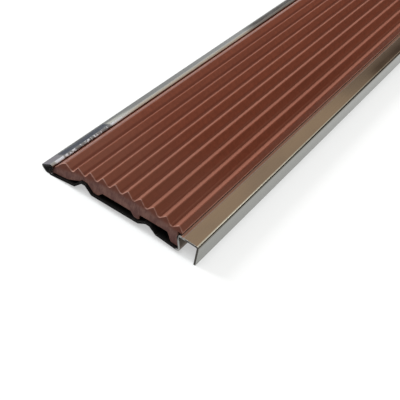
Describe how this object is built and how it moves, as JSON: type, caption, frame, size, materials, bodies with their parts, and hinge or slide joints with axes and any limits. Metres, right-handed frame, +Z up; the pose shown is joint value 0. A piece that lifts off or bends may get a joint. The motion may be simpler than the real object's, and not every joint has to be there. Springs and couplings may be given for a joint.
{
  "type": "stair nosing",
  "caption": "Stair nosing strip: a thin folded stainless section with a ramped rear edge and a short front lip, holding a ribbed brown rubber tread insert.",
  "frame": {"origin": "on the floor, below the middle of the overall width, half-way along the length", "axes": "+X from the ramped rear edge to the lip, +Y along the step, +Z up from the floor it lies on"},
  "size_m": [0.06, 1, 0.0113],
  "materials": {
    "stainless_steel": "bright cold-rolled strip",
    "brown_rubber": "matt extruded rubber"
  },
  "bodies": {
    "root": {"steel_strip": "stainless_steel", "rubber_insert": "brown_rubber"}
  },
  "joints": []
}
